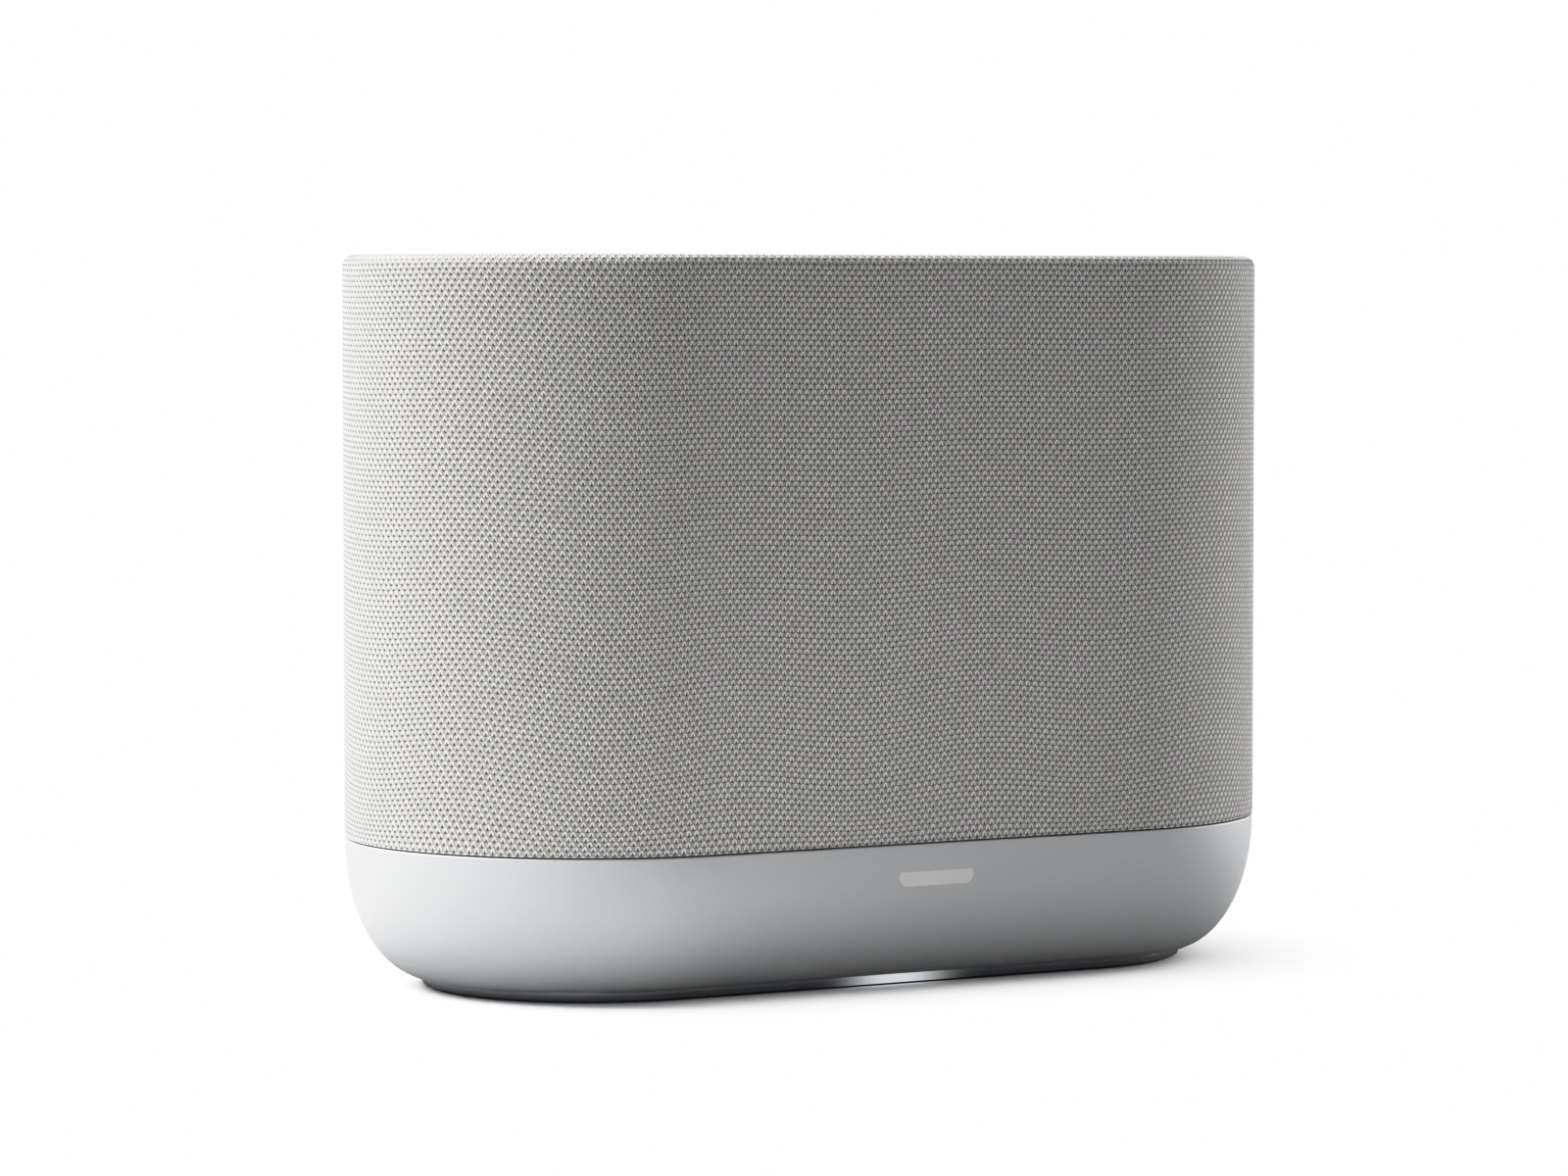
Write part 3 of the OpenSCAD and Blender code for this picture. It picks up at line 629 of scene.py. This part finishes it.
def lens_material():
    """Smoked lens over a white light: it glows in the middle of the front and fades to both sides."""
    g = Graph("smoked_lens")
    split = g.add("ShaderNodeSeparateXYZ", {"Vector": g.place()})
    across = g.math("DIVIDE", g.math("ABSOLUTE", split.outputs["X"]), GLOW_HALF)
    in_front = g.step(split.outputs["Y"], 0.0, -0.03)
    glow = g.math("EXPONENT", g.math("MULTIPLY", g.math("POWER", across, 2.6), -1))
    glow = g.math("MULTIPLY", glow, in_front)
    cloud = g.noise(60, detail=2)
    g.bump(g.noise(900), 0.00001, 0.3)
    g.set(Base_Color=g.mix(cloud, grey(0.10, (0.86, 0.97, 1.12)), grey(0.14, (0.86, 0.97, 1.12))),
          Roughness=g.scaled(cloud, 0.2, 0.28), Coat_Weight=0.5, Coat_Roughness=0.15)
    g.set(Emission_Color=(0.93, 0.96, 1, 1), Emission_Strength=g.math("MULTIPLY", glow, 0.72))
    return g.material


RUBBER = moulded("soft_rubber", grey(0.012), grey(0.022), 0.75, grain=420, depth=0.00003)
# dark seam rubber, partly painted shade for the gap at the seam
SEAM_SHADE_RUBBER = moulded("seam_shade_rubber", grey(0.08), grey(0.12), 0.75, grain=420, depth=0.00003)
make_plinth()

# ---------------------------------------------------------------- top panel and keys
KEYS = ("volume_down_key", "play_key", "volume_up_key", "microphone_key")
TOP_PLASTIC = moulded("top_plastic", grey(0.17), grey(0.20), 0.5)
BLACK_PLASTIC = moulded("black_plastic", grey(0.015), grey(0.028), 0.5)
PRINTED_MARK = moulded("printed_mark", grey(0.72), grey(0.8), 0.6)
KEY_DISH = 0.35 * MM
KEY_R = 9 * MM
KEY_GAP = 0.3 * MM
MARK_SUNK = 0.02 * MM
MARK_PROUD = 0.1 * MM
KEY_FLANGE = 1.5 * MM
KEY_FLANGE_HIGH = 1.6 * MM
MIC_HOLE = (22 * MM, -50 * MM, 0.7 * MM)
TOP_COVER_THICK = 2.4 * MM


def key_centre(node):
    low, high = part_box(node)
    return (low.x + high.x) / 2, (low.y + high.y) / 2


def make_top_panel():
    keys = [circle_loop(*key_centre(k), KEY_R + KEY_GAP) for k in KEYS]
    mic_x, mic_y, mic_r = MIC_HOLE
    mics = [circle_loop(side * mic_x, mic_y, mic_r, 20) for side in (-1, 1)]
    panel = outline_plate("top_cover", [stadium_loop(panel_high.y)] + keys + mics,
                          panel_high.z - TOP_COVER_THICK, panel_high.z, 0.3 * MM)
    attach(panel, "housing")
    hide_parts("top_panel")
    dress(panel, TOP_PLASTIC)


def make_key(node):
    low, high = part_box(node)
    top, edge = high.z, 0.5 * MM
    profile = [(0, low.z), (KEY_R + KEY_FLANGE, low.z), (KEY_R + KEY_FLANGE, low.z + KEY_FLANGE_HIGH),
               (KEY_R, low.z + KEY_FLANGE_HIGH + 0.1 * MM)]
    profile += arc(KEY_R - edge, top - edge, edge, 0, 90, 5)
    profile += [(KEY_R * k, top - KEY_DISH * (1 - (k / 0.9) ** 2))
                for k in (0.86, 0.75, 0.6, 0.45, 0.3, 0.15, 0)]
    cap = lathe(node.replace("_key", "_cap"), profile, key_centre(node))
    cap.data.set_sharp_from_angle(angle=math.radians(50))
    body = node.replace("_key", "")
    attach(cap, body)
    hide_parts(node)
    dress(cap, TOP_PLASTIC)


def upright_pill(cx, cy, w, h):
    return [(cx - py, cy + px) for px, py in pill_loop(0, 0, h, w)]


def mark_loops(node, x, y):
    """The outlines of a key's mark: minus, triangle, plus or microphone."""
    arm, half_line = 2.5 * MM, 0.4 * MM
    if node == "volume_down_key":
        return [pill_loop(x, y, 2 * arm, 2 * half_line)]
    if node == "volume_up_key":
        corner = [(half_line, half_line), (half_line, arm), (-half_line, arm)]
        turns = ((1, 0), (0, 1), (-1, 0), (0, -1))
        return [[(x + c * px - s * py, y + s * px + c * py) for c, s in turns for px, py in corner]]
    if node == "play_key":
        return [[(x + arm * math.cos(a), y + arm * math.sin(a)) for a in spread(0, 2 * math.pi, 3)[:-1]]]
    return [upright_pill(x, y + 0.8 * MM, 1.8 * MM, 3.4 * MM),
            pill_loop(x, y - 2.0 * MM, 3.2 * MM, 2 * half_line)]


def make_mark(node):
    x, y = key_centre(node)
    key_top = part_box(node)[1].z
    mark = outline_plate(node.replace("_key", "_mark"), mark_loops(node, x, y),
                         key_top - KEY_DISH - MARK_SUNK, key_top - KEY_DISH + MARK_PROUD, 0.03 * MM)
    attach(mark, node.replace("_key", ""))
    dress(mark, PRINTED_MARK)


make_top_panel()
for key_node in KEYS:
    make_key(key_node)
    make_mark(key_node)


# ---------------------------------------------------------------- badge
def make_badge():
    w, h = badge_high.x - badge_low.x, badge_high.z - badge_low.z
    mark = outline_plate("badge_pill", [pill_loop(0, (badge_low.z + badge_high.z) / 2, w, h)],
                         badge_low.y, badge_high.y, 0.25 * MM, axis="y")
    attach(mark, "housing")
    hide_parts("badge")
    dress(mark, moulded("badge_silver", grey(0.62), grey(0.70), 0.4, metallic=0.3))


make_badge()


# ---------------------------------------------------------------- materials of the CAD nodes that stay
def board_material():
    """Green solder mask with tracks, on a faintly mottled green."""
    g = Graph("circuit_board")
    tracks = g.square_cells(320)
    routes = g.step(g.noise(160, detail=0), 0.48, 0.52)
    line = g.math("MULTIPLY", g.step(tracks, 0.1, 0.06), routes)
    mask = g.mix(g.noise(400), (0.01, 0.09, 0.04, 1), (0.015, 0.13, 0.06, 1))
    g.bump(line, 0.00003, 0.7)
    return g.set(Base_Color=g.mix(line, mask, (0.05, 0.24, 0.11, 1)), Roughness=g.scaled(line, 0.35, 0.5))


def fibre_material(name, dark, light, scale=1400):
    g = Graph(name)
    fibres = g.noise(scale, (1, 1, 0.2), detail=4)
    g.bump(fibres, 0.00008, 0.7)
    return g.set(Base_Color=g.mix(fibres, dark, light), Roughness=g.scaled(fibres, 0.7, 0.95))


def coil_material():
    g = Graph("coil_copper")
    wave = g.add("ShaderNodeTexWave", {"Vector": g.place(), "Scale": 900, "Distortion": 0.3},
                 bands_direction="Y").outputs["Fac"]
    g.bump(wave, 0.0001, 0.8)
    return g.set(Base_Color=g.mix(wave, (0.4, 0.16, 0.06, 1), (0.85, 0.42, 0.18, 1)), Metallic=0.9,
                 Roughness=g.scaled(wave, 0.3, 0.45))


def milky_material():
    g = Graph("white_diffuser")
    cloud = g.noise(120)
    return g.set(Base_Color=g.mix(cloud, grey(0.78), grey(0.86)), Roughness=g.scaled(cloud, 0.3, 0.4),
                 Subsurface_Weight=0.2)


SLOT_MATERIALS = {
    "black_plastic": BLACK_PLASTIC,
    "soft_rubber": RUBBER,
    "top_plastic": TOP_PLASTIC,
    "white_diffuser": milky_material(),
    "circuit_board": board_material(),
    "screw_steel": metal("screw_steel", grey(0.42), grey(0.6), 0.32),
    "magnet_iron": metal("magnet_iron", grey(0.2), grey(0.32), 0.45, scale=500),
    "cone_paper": fibre_material("cone_paper", grey(0.012), grey(0.04)),
    "dome_silk": fibre_material("dome_silk", grey(0.01), grey(0.03), 2600),
    "coil_copper": coil_material(),
    "spider_cloth": fibre_material("spider_cloth", (0.42, 0.26, 0.09, 1), (0.62, 0.42, 0.18, 1), 2200),
    "heatsink_metal": metal("heatsink_metal", grey(0.55), grey(0.7), 0.38, (0.1, 8, 1)),
    "winding_yellow": fibre_material("winding_yellow", (0.6, 0.42, 0.05, 1), (0.75, 0.56, 0.1, 1), 900),
    "can_sleeve": moulded("can_sleeve", grey(0.015), grey(0.03), 0.3),
}

replaced = {"fabric_sleeve", "base_shell", "light_ring", "seam_gasket", "top_panel", "badge", "foot_pad",
            *KEYS}
for part in frame["record"]["subparts"]:
    if part["node"] not in replaced:
        dress(NODES[part["node"]], SLOT_MATERIALS[part["material_slot"]])


# ---------------------------------------------------------------- floor, light and world
FLOOR_HALF = 6.0
SHADE_REACH = 62 * MM
PURE_WHITE = 2.0


def make_floor():
    """A white floor that shows only the soft shadow close to the foot.

    It throws most light back from a band beside the object, and little from under it or far off: its colour
    for bounced light is painted, dark under the object as painted shadow and pale in the band as a painted
    pool of light.
    """
    corners = [(x * FLOOR_HALF, y * FLOOR_HALF, 0) for x, y in ((-1, -1), (1, -1), (1, 1), (-1, 1))]
    floor = add_mesh("floor", corners, [(0, 1, 2, 3)])
    g = Graph("pale_floor")
    split = g.add("ShaderNodeSeparateXYZ", {"Vector": g.place()})
    past_end = g.math("MAXIMUM", g.math("SUBTRACT", g.math("ABSOLUTE", split.outputs["X"]), REACH), 0)
    sideways = g.math("POWER", split.outputs["Y"], 2)
    away = g.math("SQRT", g.math("ADD", g.math("POWER", past_end, 2), sideways))
    far = g.step(away, foot_high.y, foot_high.y + SHADE_REACH)
    lit = g.add("ShaderNodeBsdfDiffuse", {"Color": grey(1.05)}).outputs[0]
    glow = g.add("ShaderNodeEmission", {"Color": grey(1), "Strength": 0.04}).outputs[0]
    near = g.add("ShaderNodeAddShader", {0: lit, 1: glow}).outputs[0]
    white = g.add("ShaderNodeEmission", {"Color": grey(1), "Strength": PURE_WHITE}).outputs[0]
    shown = g.add("ShaderNodeMixShader", {0: far, 1: near, 2: white}).outputs[0]
    # painted shade and light for bounced rays: dark near the foot as painted shadow, pale in a band beside
    # the object as a painted pool of light, dim far off
    beside = g.mix(far, grey(0.15), grey(0.68))
    bounce_painted_shade_and_light = g.mix(g.step(away, 0.22, 0.5), beside, grey(0.16))
    dull = g.add("ShaderNodeBsdfDiffuse", {"Color": bounce_painted_shade_and_light}).outputs[0]
    seen = g.add("ShaderNodeLightPath").outputs["Is Camera Ray"]
    g.feed(g.tree.nodes["Material Output"].inputs["Surface"],
           g.add("ShaderNodeMixShader", {0: seen, 1: dull, 2: shown}).outputs[0])
    dress(floor, g.material)


def area_light(name, place, size, power):
    data = bpy.data.lights.new(name, "AREA")
    data.shape = "RECTANGLE"
    data.size, data.size_y = size
    data.energy = power
    lamp = bpy.data.objects.new(name, data)
    lamp.location = place
    lamp.rotation_euler = (Vector(AIM) - Vector(place)).to_track_quat("-Z", "Y").to_euler()
    bpy.context.scene.collection.objects.link(lamp)


def make_world():
    """White behind the object, and a dim even fill from all round."""
    world = bpy.data.worlds.new("studio")
    world.use_nodes = True
    tree = world.node_tree
    fill = tree.nodes["Background"]
    fill.inputs["Color"].default_value = grey(1)
    fill.inputs["Strength"].default_value = 0.215
    backdrop = tree.nodes.new("ShaderNodeBackground")
    backdrop.inputs["Color"].default_value = grey(1)
    backdrop.inputs["Strength"].default_value = PURE_WHITE
    seen = tree.nodes.new("ShaderNodeLightPath").outputs["Is Camera Ray"]
    mix = tree.nodes.new("ShaderNodeMixShader")
    tree.links.new(seen, mix.inputs[0])
    tree.links.new(fill.outputs[0], mix.inputs[1])
    tree.links.new(backdrop.outputs[0], mix.inputs[2])
    tree.links.new(mix.outputs[0], tree.nodes["World Output"].inputs["Surface"])
    bpy.context.scene.world = world


def around(bearing, distance, height):
    """A place at a bearing in degrees from the front, positive towards the object's right."""
    a = math.radians(bearing)
    return (math.sin(a) * distance, -math.cos(a) * distance, height)


# light in, and how it is shown, up to the level that shows as white
SHOULDER = ((0.3, 0.3), (0.55, 0.55), (0.8, 0.745), (1.0, 0.83), (1.3, 0.905), (1.6, 0.95))


def soften_highlights():
    """A tone curve with a soft shoulder, so bright cloth keeps its shape beside the white ground."""
    view = bpy.context.scene.view_settings
    view.view_transform = "Standard"
    view.use_curve_mapping = True
    view.curve_mapping.white_level = (PURE_WHITE, PURE_WHITE, PURE_WHITE)
    curve = view.curve_mapping.curves[3]
    for light, shown in SHOULDER:
        curve.points.new(light / PURE_WHITE, shown)
    curve.points[0].handle_type = "VECTOR"
    curve.points[1].handle_type = "VECTOR"
    view.curve_mapping.update()


AIM = (0, 0, 0.12)
# each light: where it is, its width and height, and its power
LIGHTS = {
    "key_left": (around(-121, 1.4, 1.4), (1.7, 1.1), 131),
    "front_left": (around(-45, 2.0, 0.3), (1.4, 0.5), 5),
    "rim_right": (around(92, 1.5, 0.45), (0.9, 1.3), 27),
}
make_floor()
make_world()
for light_name, (place, size, power) in LIGHTS.items():
    area_light(light_name, place, size, power)
soften_highlights()
